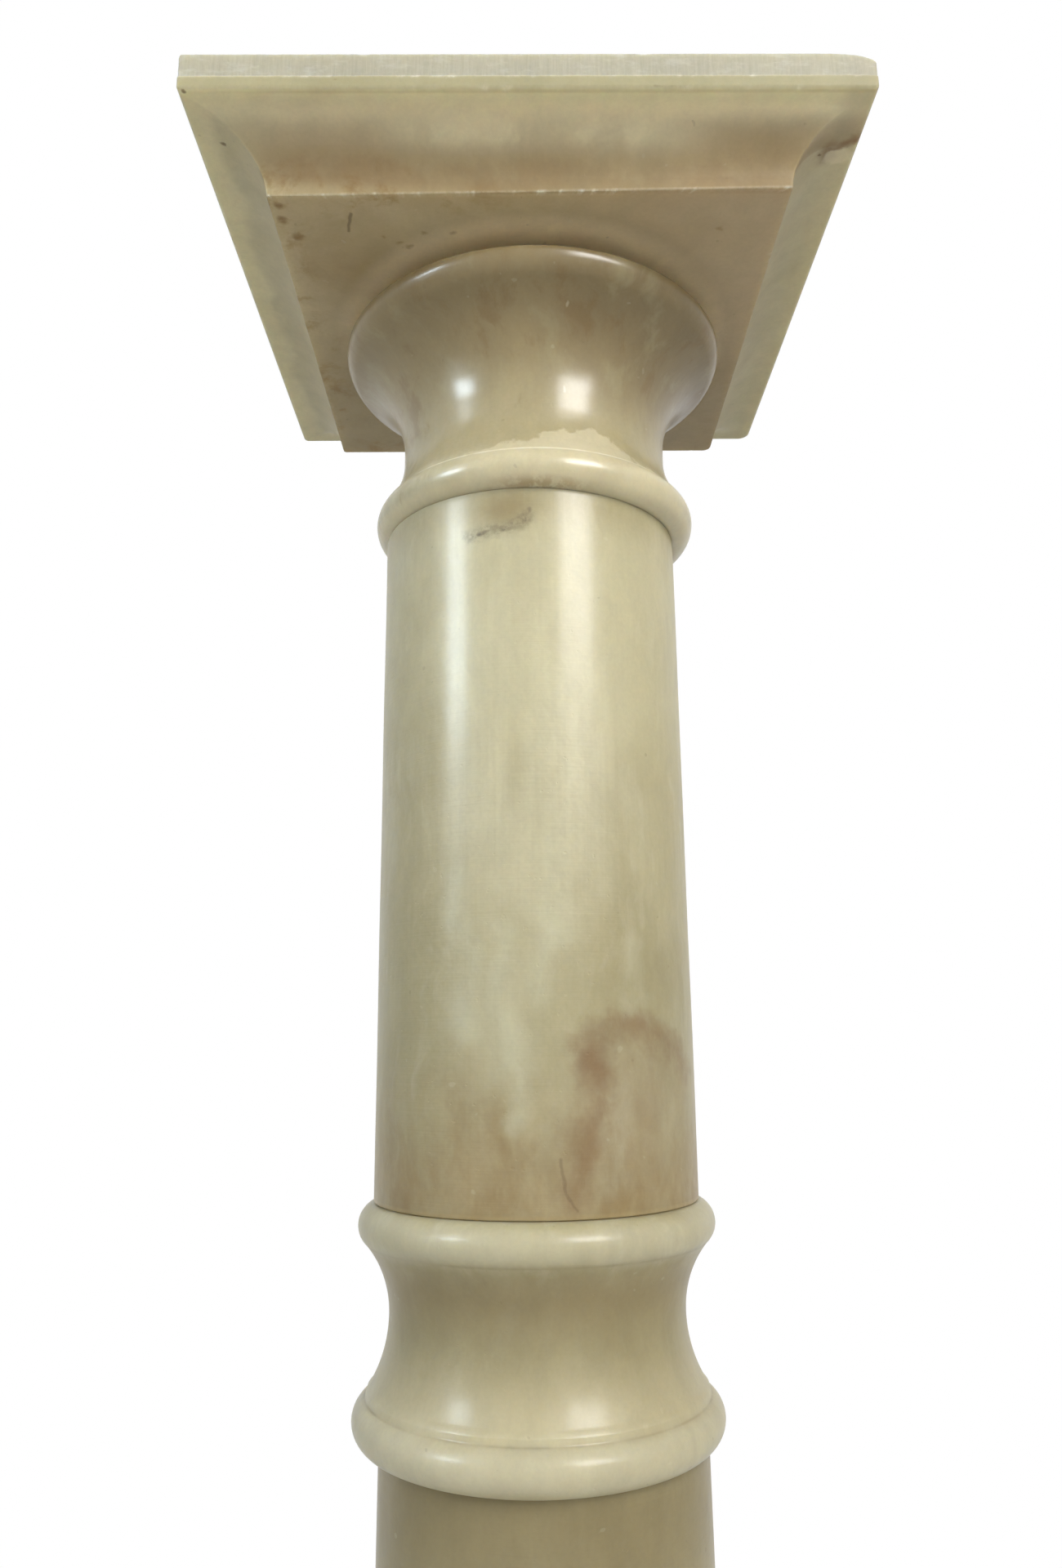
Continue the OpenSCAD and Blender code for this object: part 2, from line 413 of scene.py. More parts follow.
slabStone = {
    "soffitHalf": 118, "cove": 25, "sawnFrom": 6.6, "arris": 0.7, "rimRound": 2.2, "perSide": 190,
    "corners": [1.6, 6, 2, 1.2], "innerCorners": [0.8, 4, 1.5, 0.8],
    "skew": 2.2, "skewReach": 27, "lostCorner": 5.2, "lostReach": 5.5, "lostDepth": 12,
    "sawDepth": 0.25, "sawLines": 0.016, "sawGrain": 0.025, "waviness": 0.12, "calm": 0.45, "seed": 11,
    # for each arris: its reach, how many chips, their widths and depths, how far they drop, and which way
    "chips": {"soffit": (0.6, 190, (0.6, 3), (0.06, 0.34), 0.6, 1),
              "rim": (1.2, 60, (1, 4), (0.05, 0.35), 0.4, 1),
              "sawn": (0.5, 260, (0.7, 3.2), (0.05, 0.3), 0.2, 0),
              "top": (0.9, 50, (1.5, 5), (0.03, 0.25), 0.8, -1)},
    "capitalAt": (0.0025, 0, 0),  # where the capital's axis meets the slab
    "look": {"tooling": (260, 260, 40), "coat": 0.05},
    "saw": {"dark": (0.42, 0.407, 0.33), "light": (0.49, 0.478, 0.405), "frost": (0.6, (0.60, 0.60, 0.55)),
            "share": 0.85},
    # each tint is a share and a colour
    "tints": {
        "soffit": (0.72, (0.55, 0.43, 0.25)), "rim": (0.6, (0.68, 0.64, 0.43)),
        "lit": (0.85, (0.91, 0.84, 0.59)), "rimGlow": (0.5, (0.74, 0.73, 0.53)),
        "low": (0.7, (0.37, 0.275, 0.15)), "brown": (0.55, (0.42, 0.30, 0.165)),
        "greenSide": (0.4, (0.66, 0.62, 0.42)), "rightEnd": (0.4, (0.42, 0.38, 0.26)),
        "sides": (0.45, (0.72, 0.65, 0.43)), "leftRim": (0.5, (0.84, 0.78, 0.53)),
        "band": (0.75, (0.385, 0.355, 0.22)), "pinkRight": (0.5, (0.56, 0.44, 0.30)),
        "brownLeft": (0.6, (0.36, 0.25, 0.115)), "behind": (0.4, (0.30, 0.235, 0.13)),
        "ring": (0.9, (0.98, 0.82, 0.53)), "mitreStain": (0.7, (0.24, 0.13, 0.07)),
        "mitrePale": (0.6, (0.80, 0.74, 0.55)), "blush": (0.6, (0.34, 0.215, 0.085)),
        "scratch": (0.55, (0.12, 0.085, 0.05)), "nick": (0.5, (0.22, 0.18, 0.10))},
    "spots": {
        "rust": {"at": [(-0.1138, -0.1101, 1.002), (-0.114, -0.1004, 1.002), (-0.1085, -0.0892, 1.002)],
                 "size": (0.0038, 0.0036, 0.0040), "soft": 0.15, "tint": (0.75, (0.24, 0.135, 0.045))},
        "pits": {"at": [(-0.1474, -0.1486, 1.027), (-0.1366, -0.1195, 1.0261), (0.1325, -0.1142, 1.0250)],
                 "size": (0.0016, 0.0016, 0.0016), "soft": 0.3, "tint": (0.75, (0.16, 0.10, 0.05))},
        "flecks": {"at": [(-0.0610, -0.0843, 1.002), (-0.0682, -0.0890, 1.002), (-0.0574, -0.0814, 1.002),
                          (-0.0488, -0.0917, 1.002), (-0.0354, -0.0917, 1.002), (0.0891, -0.0939, 1.002)],
                   "size": (0.0026, 0.0022, 0.003), "soft": 0, "tint": (0.5, (0.27, 0.16, 0.07))},
        "rightCloud": {"at": [(0.108, -0.129, 1.020)], "size": (0.045, 0.014, 0.02), "soft": 0,
                       "tint": (0.42, (0.36, 0.245, 0.12))},
        "leftCloud": {"at": [(-0.092, -0.141, 1.027)], "size": (0.045, 0.012, 0.02), "soft": 0,
                      "tint": (0.15, (0.36, 0.245, 0.12))}}}


def slabOutline(spec, half, height):
    # half the slab's section from the middle of its narrow face round to the middle of its broad one
    inner, cove, a, rim = spec["soffitHalf"], spec["cove"], spec["arris"], spec["rimRound"]
    sawnZ = cove + spec["sawnFrom"]
    return joinOutline([
        np.column_stack([inner * (1 - np.linspace(1, 0.035, 15) ** 1.6), np.zeros(15)]),
        arcPoints((inner - a, a), a, -90, 0, 0.4),
        arcPoints((inner + cove, 0), cove, 177, 90, 1.25),
        linePoints((inner + cove, cove), (half - rim, cove), 1.6),
        arcPoints((half - rim, cove + rim), rim, -90, 0, 0.5),
        linePoints((half, cove + rim), (half, sawnZ - 0.5), 1.2),
        linePoints((half, sawnZ - 0.5), (half, sawnZ + 0.6), 0.5),
        linePoints((half, sawnZ + 0.6), (half, height - a), 1.2),
        arcPoints((half - a, height - a), a, 0, 90, 0.4),
        np.column_stack([(half - a) * np.linspace(0.985, 0, 14) ** 0.7, np.full(14, height)])])


def slabPiece(name, node, spec, material, flip=False):
    # the section carried round a square, with its arrises chipped and its upper band sawn
    low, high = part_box(node)
    half = (high.x - low.x) / 2 / mm
    height = heightOf(node)
    inner, cove, seed = spec["soffitHalf"], spec["cove"], spec["seed"]
    hollowEnd = inner + cove
    sawnZ = cove + spec["sawnFrom"]
    outline = slabOutline(spec, half, height)
    rows = len(outline)
    outer = np.clip((outline[:, 0] - hollowEnd) / (half - hollowEnd), 0, 1) * (outline[:, 1] > 1)
    outer[outline[:, 1] > height - 0.01] = 1
    outerCorners = np.array(spec["corners"])
    innerCorners = np.array(spec["innerCorners"])
    radii = innerCorners + outer[:, None] * (outerCorners - innerCorners)
    flat = squareGrid(outline[:, 0], radii, spec["perSide"], 9)
    around = len(flat)
    points = np.dstack([flat, np.broadcast_to(outline[:, 1], (around, rows))]).copy()
    girth = flat[:, -8]
    step = np.hypot(*np.diff(girth, axis=0, append=girth[:1]).T)
    length = np.cumsum(step) - step[0]
    total = step.sum()
    turn = length / total * 2 * np.pi
    rng = np.random.default_rng(seed)

    # every move is an inward one, so that the slab keeps its real size
    inward = np.zeros((around, rows))
    sink = np.zeros((around, rows))
    worn = np.zeros((around, rows))
    edges = {"soffit": (inner - 0.2, 0.2), "rim": (half, cove), "sawn": (half, sawnZ), "top": (half, height)}
    widest = int(np.argmax(outline[:, 0]))
    frontOnly = np.where(flat[:, widest, 1] < 3 - half, 1, spec["calm"])
    for number, (arris, (reach, count, wide, deep, drop, way)) in enumerate(spec["chips"].items()):
        near = closeTo(outline, edges[arris], reach)
        chips = chipDepth(length, total, seed + number, count, wide, deep) * frontOnly
        inward += chips[:, None] * near
        sink += chips[:, None] * near * drop * way
        worn = np.maximum(worn, near * np.clip(chips[:, None] / deep[1] * 1.5, 0.22, 1) * frontOnly[:, None])
    sawn = (outline[:, 1] > sawnZ) & (outline[:, 0] > half - 1.2) & (outline[:, 1] < height)
    lines = rng.normal(0, 1, around)
    lines = np.convolve(np.tile(lines, 3), [0.25, 0.5, 0.25], "same")[around:2 * around]
    grain = rng.normal(0, 1, (around, rows))
    cut = spec["sawDepth"] + spec["sawLines"] * lines[:, None] + spec["sawGrain"] * grain
    inward += sawn * np.clip(cut, 0, None)
    sawnMark = np.broadcast_to(sawn * 1.0, (around, rows))
    wave = slowWaves(turn, outline[:, 1], seed, 1)
    inward += (outline[:, 0] > inner + 1) * spec["waviness"] * (1 + wave)
    reach = np.maximum(np.abs(points[..., 0]), np.abs(points[..., 1]))
    shrink = 1 - inward / np.maximum(reach, 1)
    points[..., :2] *= shrink[..., None]
    points[..., 2] += sink

    # the front edge of the narrow face was cut a little out of square
    lean = np.clip((inner + spec["skewReach"] - outline[:, 0]) / spec["skewReach"], 0, 1)
    lean = lean * (outline[:, 1] < height - 1)
    toFront = np.clip(-points[..., 1] / inner, 0, 1) ** 3
    points[..., 1] -= spec["skew"] * lean * toFront * (points[..., 0] / inner + 0.3)

    # the front right corner has lost its top to wear: a drop that dies away from the corner
    gap = np.hypot(points[..., 0] - half, points[..., 1] + half)
    depth = spec["lostDepth"]
    lost = np.exp(-gap / spec["lostReach"]) * np.clip((points[..., 2] - height + depth) / depth, 0, 1)
    points[..., 2] -= spec["lostCorner"] * lost
    marks = {"worn": worn, "dirt": np.zeros((around, rows)), "sawn": sawnMark}
    if flip:
        points[..., 2] = height - points[..., 2]
        points = points[:, ::-1]
        marks = {key: value[:, ::-1] for key, value in marks.items()}
    points[..., 2] += floorOf(node)
    standIn(meshFromGrid(name, points, marks), node, material)


def sawnBand(color, place, saw):
    # the sawn band is greyer than the polish and lined upright by the saw, and may have frosty patches
    lines = cloud(place, (1100, 1100, 60), 4, 0.7)
    sawn = paint(fade(lines, 0.3, 0.7), saw["dark"], saw["light"])
    if "frost" in saw:
        frost = fade(cloud(place, (60, 60, 160), 5, 0.7), 0.48, 0.68)
        sawn = wash(sawn, frost, saw["frost"])
    return wash(color, mark(place.id_data, "sawn"), (saw["share"], sawn))


def dressSlab(color, place, bent, near, thin):
    # the slab is painted palest where it is thin, at its rim, a painted glow of light through the thin stone,
    # and brownest over the capital, partly its own colour and partly painted shade
    tints, spots = slabStone["tints"], slabStone["spots"]
    x, y, z = axes(place)
    wideX, wideY = calc("ABSOLUTE", x), calc("ABSOLUTE", y)
    edge = most(wideX, wideY)
    band = times(fade(edge, 0.1486, 0.1498), fade(z, 1.0345, 1.0325))
    belowTop = fade(z, 1.0444, 1.0436)
    plain = color
    fromCapital = vector("SUBTRACT", place, slabStone["capitalAt"])
    ring = vector("LENGTH", vector("MULTIPLY", fromCapital, (1, 1, 0)))
    patchy = times(sway(bent, 26, 3), 0.022)
    spread = calc("ADD", edge, patchy)
    # painted shade: the soffit is painted browner, partly its own colour and partly the shade it lies in;
    # painted light: the rim is painted paler, a glow through the thin stone
    color = wash(color, fade(spread, 0.143, 0.122), tints["soffit"])
    color = wash(color, fade(spread, 0.128, 0.150), tints["rim"])
    # the front hollow is painted pale under the rim, a painted glow where the stone is thin, and painted
    # shade makes it brown down at the soffit, with a brown cloud to the left
    front = times(fade(y, -0.1165, -0.1185), fade(y, -0.1485, -0.1465))
    leftCove = times(fade(calc("SUBTRACT", wideX, wideY), -0.0005, 0.0020), fade(x, -0.05, -0.06))
    front = times(front, calc("SUBTRACT", 1, leftCove))
    color = wash(color, times(front, fade(y, -0.1195, -0.131)), tints["lit"])
    color = wash(color, times(front, fade(y, -0.138, -0.146)), tints["rimGlow"])
    # painted shade: brown at the foot of the hollow, by the soffit
    color = wash(color, times(front, fade(y, -0.128, -0.1195)), tints["low"])
    toEnds = fade(awayFrom(x, 0.005), 0.035, 0.085)
    brown = times(fade(cloud(bent, 30, 4, 0.6), 0.42, 0.6), 0.5)
    brown = times(times(front, fade(y, -0.140, -0.128)), most(toEnds, brown))
    color = wash(color, brown, tints["brown"])
    color = wash(color, fade(calc("ADD", x, patchy), -0.10, -0.14), tints["greenSide"])
    color = wash(color, times(fade(x, 0.132, 0.142), fade(y, -0.105, -0.125)), tints["rightEnd"])
    sides = times(fade(spread, 0.119, 0.124), most(fade(y, -0.128, -0.110), leftCove))
    color = wash(color, sides, tints["sides"])
    # painted glow: the left rim is painted paler still
    color = wash(color, times(fade(spread, 0.136, 0.143), fade(x, -0.10, -0.13)), tints["leftRim"])
    color = wash(color, band, tints["band"])
    # the soffit is pinker to the right, browner to the left, and painted paler where it meets the capital,
    # painted light that lifts the shade under the capital's lip
    under = fade(z, 1.0035, 1.0025)
    color = wash(color, times(under, fade(x, -0.01, 0.07)), tints["pinkRight"])
    brownLeft = times(blot(bent, (-0.085, -0.062, 1.002), (0.040, 0.050, 0.03), 0), under)
    color = wash(color, brownLeft, tints["brownLeft"])
    color = wash(color, times(under, fade(y, -0.02, 0.06)), tints["behind"])
    # painted light: a pale ring on the soffit round the capital, against the shade of its lip
    color = wash(color, times(under, fade(ring, 0.108, 0.092)), tints["ring"])
    # a rust brown stain at the right mitre, with a pale patch behind it
    stain = blot(near, (0.1365, -0.114, 1.0265), (0.009, 0.010, 0.008), 0)
    run = strokes(near, [(0.136, -0.114, 1.026), (0.142, -0.117, 1.027), (0.148, -0.121, 1.028)], 0.0045, 0)
    color = wash(color, most(stain, run), tints["mitreStain"])
    pale = blot(near, (0.142, -0.1105, 1.027), (0.008, 0.006, 0.006), 0.6)
    color = wash(color, pale, tints["mitrePale"])
    color = spatter(color, near, spots["rust"])
    # rust coloured blush along the soffit's left and front arrises
    blush = times(fade(cloud(bent, 55, 5, 0.65), 0.48, 0.66), fade(spread, 0.095, 0.116))
    blush = times(times(blush, fade(spread, 0.121, 0.1185)), fade(x, 0.03, -0.07))
    color = wash(color, blush, tints["blush"])
    scratch = strokes(thin, [(-0.0814, -0.1046, 1.002), (-0.083, -0.099, 1.002), (-0.0842, -0.093, 1.002)],
                      0.0012)
    color = wash(color, scratch, tints["scratch"])
    color = spatter(color, near, spots["pits"])
    nick = stroke(thin, (0.0535, -0.150, 1.0282), (0.0625, -0.150, 1.0279), 0.0009)
    color = wash(color, nick, tints["nick"])
    color = spatter(color, near, spots["flecks"])
    color = spatter(color, bent, spots["rightCloud"])
    color = spatter(color, bent, spots["leftCloud"])
    color = paint(belowTop, plain, color)
    return sawnBand(color, place, slabStone["saw"])


slabPiece("top_slab", "abacus", slabStone, stone("slab onyx", slabStone["look"], dressSlab))


capitalStone = {
    "slip": 2.5, "lip": 99.5, "lipRound": 11, "lipTurn": 2.5, "bed": 81.5, "annulet": 3, "neck": 68.4,
    "neckLow": 46, "neckStraight": 6.5, "hollow": 46, "bead": 82, "beadRound": 10, "around": 384, "seed": 21,
    "look": {"seed": 4.1, "wispShare": 0.2, "coat": 0.5},
    "tints": {
        "bell": (0.8, (0.27, 0.185, 0.078)), "bead": (0.8, (0.74, 0.665, 0.45)),
        "shadeRight": (0.66, (0.14, 0.09, 0.04)), "lipShade": (0.45, (0.15, 0.10, 0.04)),
        "topRightShade": (0.7, (0.11, 0.065, 0.02)), "neck": (0.5, (0.42, 0.345, 0.195)),
        "greenSmear": (0.45, (0.44, 0.39, 0.235)), "rustSmear": (0.4, (0.23, 0.14, 0.05)),
        "patch": (0.72, (0.70, 0.64, 0.45)), "jointRust": (0.6, (0.43, 0.31, 0.15)),
        "creaseHighlight": (0.75, (0.88, 0.83, 0.64)), "paleLine": (0.45, (0.62, 0.55, 0.38))}}


def capitalOutline(spec, height):
    # bead, hollow neck, bell, rolled lip and bed: arcs that meet at a crease or run smoothly on
    b = spec["beadRound"]
    bead = (spec["bead"] - b, b)
    hollow = (spec["neck"] + spec["hollow"], spec["neckLow"])
    lip = (spec["lip"] - spec["lipRound"], height - spec["annulet"] - spec["lipRound"])
    turnIn = spec["lip"] - spec["lipTurn"]
    bellZ = spec["neckLow"] + spec["neckStraight"]
    dx, dz = spec["neck"] - lip[0], bellZ - lip[1]
    bellR = (dx * dx + dz * dz - spec["lipRound"] ** 2) / (2 * (spec["lipRound"] - dx))
    bell = (spec["neck"] + bellR, bellZ)
    turnOver = bearingTo(bell, lip)
    beadTurn = crossAngle(bead, b, hollow, spec["hollow"], 1)
    crease = onCircle(bead, b, beadTurn)
    outline = joinOutline([
        linePoints((0, 0), (bead[0], 0), 18),
        lowerBead(bead, b),
        arcPoints(bead, b, 0, beadTurn, 0.9),
        arcPoints(hollow, spec["hollow"], bearingTo(hollow, crease), 180, 1.3),
        arcPoints(bell, bellR, 180, turnOver, 1.3),
        arcPoints(lip, spec["lipRound"], turnOver - 180, 0, 0.9),
        arcPoints((turnIn, lip[1]), spec["lipTurn"], 0, 54, 0.6),
        linePoints((turnIn + 1.2, lip[1] + spec["lipTurn"]), (spec["bed"], height - 0.2), 2),
        linePoints((spec["bed"], height), (0, height), 18)])
    return outline, crease


turnedWear = {"waviness": 0.22, "chipIn": 0.8, "chipUp": 0.6}


def turnedPiece(name, node, outline, spec, material, creases=(), arrises=(), joints=()):
    # the outline swung round the upright axis: (r sin t, -r cos t, z), t = 0 at the front
    around = spec["around"]
    turn = np.linspace(0, 2 * np.pi, around, endpoint=False)
    r = np.tile(outline[:, 0], (around, 1))
    z = np.tile(outline[:, 1], (around, 1))
    rise = outline[:, 1]
    skin = (outline[:, 0] > 5) * 1.0
    r += skin * slowWaves(turn, rise, spec["seed"], turnedWear["waviness"])
    worn = np.zeros_like(r)
    dirt = np.zeros_like(r)
    for number, (edge, reach, count, wide, deep, way) in enumerate(arrises):
        near = closeTo(outline, edge, reach)
        chips = chipDepth(turn * edge[0], 2 * np.pi * edge[0], spec["seed"] + 50 + number, count, wide, deep)
        r -= chips[:, None] * near * turnedWear["chipIn"]
        z += chips[:, None] * near * turnedWear["chipUp"] * way
        worn = np.maximum(worn, near * np.clip(chips[:, None] / deep[1] * 1.4, 0, 1))
    for edge, reach, share in creases:
        near = closeTo(outline, edge, reach)
        uneven = 0.55 + 0.45 * slowWaves(turn, rise * 0, spec["seed"] + 7, 2.4, 20, 30)[:, :1]
        dirt = np.maximum(dirt, np.clip(near * share * uneven, 0, 1))
    for edge, reach, share in joints:
        dirt = np.maximum(dirt, closeTo(outline, edge, reach) * share)
    z += floorOf(node)
    points = np.stack([r * np.sin(turn)[:, None], -r * np.cos(turn)[:, None], z], axis=2)
    points[..., 0] += spec.get("slip", 0)  # the stack was set a little off its axis
    standIn(meshFromGrid(name, points, {"worn": worn, "dirt": dirt}), node, material)


capitalLine, capitalCrease = capitalOutline(capitalStone, heightOf("capital"))


def dressCapital(color, place, bent, near, thin):
    # the bell is painted brown, partly its own colour and partly painted shade on its downward face, darkest
    # to the right under its lip, and the bead is cream, painted paler on its shaded underside as painted
    # light
    tints = capitalStone["tints"]
    x, y, z = axes(place)
    # painted shade: the bell's downward face is painted brown, darkest to the right and under the lip
    color = wash(color, fade(z, 0.918, 0.968), tints["bell"])
    toRight = fade(calc("ADD", x, times(y, -0.3)), 0.015, 0.065)
    color = wash(color, times(fade(z, 0.915, 0.955), toRight), tints["shadeRight"])
    underLip = times(fade(z, 0.962, 0.976), fade(z, 1.001, 0.988))
    color = wash(color, underLip, tints["lipShade"])
    color = wash(color, times(fade(z, 0.950, 0.975), fade(x, 0, 0.045)), tints["topRightShade"])
    color = wash(color, fade(z, 0.900, 0.906), tints["neck"])
    # upright smears, greenish and rusty, run down the bell
    smear = cloud(bent, (42, 42, 18), 5, 0.6, shift=(2, 0, 3))
    color = wash(color, fade(smear, 0.50, 0.68), tints["greenSmear"])
    color = wash(color, fade(smear, 0.47, 0.34), tints["rustSmear"])
    # painted light: the bead's underside is painted pale, lifting the shade where it meets the shaft
    color = wash(color, fade(z, 0.889, 0.884), tints["bead"])
    # a pale cloud with a ragged upper edge lies over the neck's front, above the bead
    level = calc("ADD", z, times(sway(place, 115), 0.017))
    climb = fade(x, -0.026, 0.030, 0.901, 0.917, "LINEAR")
    fall = fade(x, 0.030, 0.054, 0.918, 0.899, "LINEAR")
    edge = calc("MINIMUM", climb, fall)
    patch = fade(calc("SUBTRACT", edge, level), -0.0010, 0.0020)
    front = times(fade(y, -0.020, -0.036), fade(x, -0.045, -0.02))
    color = wash(color, times(patch, front), tints["patch"])
    # rust has run out of the joint under the bead's front
    rusty = blot(thin, (0.004, -0.076, 0.8818), (0.036, 0.030, 0.0042), 0.1)
    rusty = times(rusty, fade(cloud(place, 190, 4, 0.6), 0.36, 0.56))
    color = wash(color, rusty, tints["jointRust"])
    # a thin pale line runs along the crease over the bead: a painted highlight on the arris
    creaseZ = floorOf("capital") * mm + capitalCrease[1] * mm
    crease = fade(awayFrom(z, creaseZ), 0.0011, 0.0003)
    uneven = fade(cloud(place, 60, 3, 0.6), 0.38, 0.56, 0.15, 1)
    color = wash(color, times(crease, uneven), tints["creaseHighlight"])
    line = strokes(thin, [(0.0182, -0.086, 0.978), (0.0175, -0.076, 0.957), (0.0163, -0.0665, 0.934)], 0.0009)
    return wash(color, line, tints["paleLine"])


turnedPiece("capital_bell", "capital", capitalLine, capitalStone,
            stone("bell onyx", capitalStone["look"], dressCapital),
            arrises=[(capitalCrease, 0.5, 70, (3, 14), (0.02, 0.10), 0)])


shaftStone = {
    "headIn": 0.4, "footIn": 0.4, "around": 360, "slip": 0, "slim": 0, "seed": 31,
    "look": {"seed": 7.3, "wispShare": 0.3, "tooling": (12, 12, 620), "toolingDepth": 0.5, "bump": 0.6},
    "tints": {
        "belt": (0.4, (0.68, 0.645, 0.44)), "low": (0.3, (0.34, 0.305, 0.18)),
        "footTan": (1, (0.40, 0.315, 0.175)), "footRust": (1, (0.31, 0.215, 0.095)),
        "footLine": (0.4, (0.55, 0.40, 0.20)), "head": (0.45, (0.36, 0.295, 0.15)),
        "streak": (1, (0.62, 0.605, 0.445)), "vein": (1, (0.245, 0.150, 0.072)),
        "scrape": (1, (0.125, 0.10, 0.07)), "underKnopShade": (0.85, (0.278, 0.225, 0.114)),
        "smear": (0.3, (0.37, 0.315, 0.165)), "halo": (0.34, (0.33, 0.235, 0.15)),
        "crack": (0.4, (0.17, 0.12, 0.07)), "tan": (0.75, (0.31, 0.245, 0.125))},
    # pale streaks that stand in the front of the upper shaft: start, end, width and share
    "streaks": [((-0.015, -0.0735, 0.672), (-0.008, -0.0745, 0.602), 0.0105, 0.6),
                ((0.004, -0.074, 0.712), (0.005, -0.0745, 0.650), 0.011, 0.62),
                ((0.041, -0.062, 0.668), (0.043, -0.062, 0.640), 0.012, 0.4),
                ((0.033, -0.068, 0.604), (0.031, -0.069, 0.576), 0.014, 0.42),
                ((-0.036, -0.065, 0.700), (-0.028, -0.069, 0.640), 0.011, 0.6)]}
lowerStone = {**shaftStone, "slip": 2.2, "slim": 0.8, "seed": 37, "look": {**shaftStone["look"], "seed": 9.9}}


def shaftOutline(footR, headR, height, spec):
    # a straight side that tapers from foot to head, its two arrises rubbed to small arcs
    a, b = spec["footIn"], spec["headIn"]
    return joinOutline([
        linePoints((0, 0), (footR - a, 0), 15),
        arcPoints((footR - a, a), a, -90, 0, 0.35),
        linePoints((footR, a), (headR, height - b), 2.4),
        arcPoints((headR - b, height - b), b, 0, 90, 0.35),
        linePoints((headR - b, height), (0, height), 15)])


def shaftRadii(node):
    # the frame's own solid gives the radius at the foot and at the head
    co = np.array([v.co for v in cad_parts[node].data.vertices])
    r = np.hypot(co[:, 0], co[:, 1]) / mm
    low = co[:, 2] < co[:, 2].mean()
    return r[low].max(), r[~low].max()


def dressUpperShaft(color, place, bent, near, thin):
    # a pale belt above, brown stone and a dark curled vein at the foot, and the scrape under the capital
    tints = shaftStone["tints"]
    z = axes(place)[2]
    color = wash(color, times(fade(z, 0.735, 0.79), fade(z, 0.885, 0.845)), tints["belt"])
    # the shaft goes darker and browner towards the foot
    rising = sway(bent, (34, 34, 14))
    foot = fade(calc("ADD", z, times(rising, 0.10)), 0.640, 0.558, 0, 0.82)
    color = wash(color, fade(z, 0.76, 0.62), tints["low"])
    rust = cloud(place, (48, 48, 26), 5, 0.6, shift=(5, 0, 1))
    footColor = wash(tints["footTan"][1], fade(rust, 0.38, 0.64), tints["footRust"])
    color = paint(foot, color, footColor)
    color = wash(color, fade(z, 0.5625, 0.5608), tints["footLine"])
    # and a little painted shade, tan, close under the capital, where its bead shades the shaft's head
    color = wash(color, fade(z, 0.858, 0.880), tints["head"])
    streaks = None
    for start, end, width, share in shaftStone["streaks"]:
        one = times(stroke(bent, start, end, width, 0), share)
        streaks = one if streaks is None else most(streaks, one)
    broken = fade(cloud(place, (80, 80, 30), 5, 0.65), 0.3, 0.6, 0.3, 1)
    color = wash(color, times(streaks, broken), tints["streak"])
    color = wash(color, blot(near, (-0.0085, -0.074, 0.752), (0.008, 0.03, 0.032), 0), tints["smear"])
    # the vein: an arch to the right and a fall towards the foot, both frayed, round a dark core
    tangled = vector("ADD", wander(place, 42, 5, 0.024, 0.6), (-0.0045, 0, 0.0030))
    arch = strokes(tangled, [(0.014, -0.073, 0.630), (0.030, -0.068, 0.639), (0.046, -0.058, 0.638),
                             (0.060, -0.046, 0.630), (0.067, -0.034, 0.618)], 0.0125, 0)
    fall = strokes(tangled, [(0.021, -0.072, 0.622), (0.021, -0.072, 0.606), (0.016, -0.0735, 0.590),
                             (0.011, -0.074, 0.572)], 0.0115, 0)
    core = blot(tangled, (0.0205, -0.0715, 0.6245), (0.0165, 0.020, 0.023), 0)
    vein = most(times(arch, 0.64), times(fall, 0.62))
    mottle = fade(cloud(place, (95, 95, 45), 5, 0.65), 0.3, 0.62, 0.45, 1)
    vein = most(times(vein, mottle), times(core, 0.9))
    halo = blot(bent, (0.040, -0.060, 0.606), (0.043, 0.05, 0.045), 0.1)
    color = wash(color, times(halo, mottle), tints["halo"])
    color = wash(color, vein, tints["vein"])
    crack = strokes(thin, [(0.0095, -0.0745, 0.5835), (0.0105, -0.0745, 0.5765), (0.0115, -0.0744, 0.570),
                           (0.016, -0.073, 0.5635)], 0.0011)
    color = wash(color, crack, tints["crack"])
    # the dark scrape under the capital
    scrape = strokes(thin, [(-0.024, -0.0695, 0.8600), (-0.0114, -0.0725, 0.8606), (-0.0025, -0.0733, 0.864),
                            (-0.0008, -0.0733, 0.870)], 0.0020, 0.1)
    scrape = times(scrape, fade(cloud(place, 230, 3, 0.6), 0.35, 0.6, 0.35, 1))
    smudge = strokes(near, [(-0.028, -0.068, 0.8596), (-0.0114, -0.0725, 0.8612), (-0.002, -0.0733, 0.8655)],
                     0.0058, 0)
    smudge = times(smudge, fade(cloud(place, 300, 4, 0.7), 0.38, 0.62, 0.25, 1))
    # painted shadow: a tan blot under the front of the capital's bead
    color = wash(color, blot(near, (-0.012, -0.072, 0.871), (0.024, 0.03, 0.017), 0), tints["tan"])
    return wash(color, most(scrape, times(smudge, 0.55)), tints["scrape"])


def dressLowerShaft(color, place, bent, near, thin):
    # painted shade, brown, under the knop, and plain further down
    return wash(color, fade(axes(place)[2], 0.34, 0.45), shaftStone["tints"]["underKnopShade"])


def shaftPiece(name, node, spec, material):
    # a shaft may be slimmer at its head than its solid
    footR, headR = shaftRadii(node)
    outline = shaftOutline(footR, headR - spec["slim"], heightOf(node), spec)
    turnedPiece(name, node, outline, spec, material, joints=[((footR, 0), 0.6, 0.05)])


shaftPiece("upper_drum", "upper_shaft", shaftStone,
           stone("upper shaft onyx", shaftStone["look"], dressUpperShaft))
shaftPiece("lower_drum", "lower_shaft", lowerStone,
           stone("lower shaft onyx", lowerStone["look"], dressLowerShaft))


